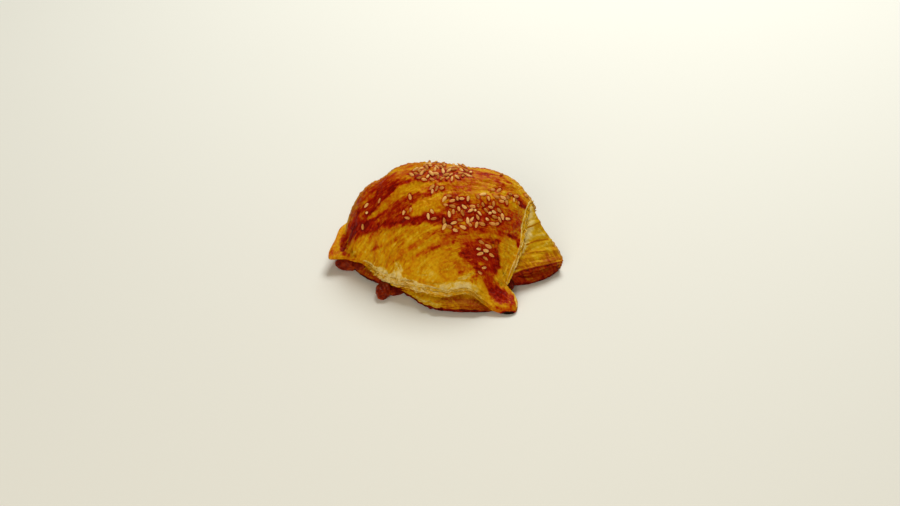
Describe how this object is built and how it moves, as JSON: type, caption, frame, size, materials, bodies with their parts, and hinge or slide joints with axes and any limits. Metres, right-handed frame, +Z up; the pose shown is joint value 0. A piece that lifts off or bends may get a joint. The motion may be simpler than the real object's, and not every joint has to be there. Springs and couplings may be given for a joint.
{
  "type": "samsa",
  "caption": "Baked savoury pastry folded cornerwise over its filling, a seeded dome with open cut edges and a corner of the lower sheet sticking out.",
  "frame": {"origin": "middle of the samsa's outline seen from above, on the ground it rests on", "axes": "+Z up; +X from the pressed left corner to the right corner of the lower sheet, the longest extent; -Y towards the front cut edge"},
  "size_m": [0.1008, 0.0758, 0.0435],
  "materials": {
    "baked_pastry": null
  },
  "bodies": {
    "root": {"samsa": "baked_pastry"}
  },
  "joints": []
}
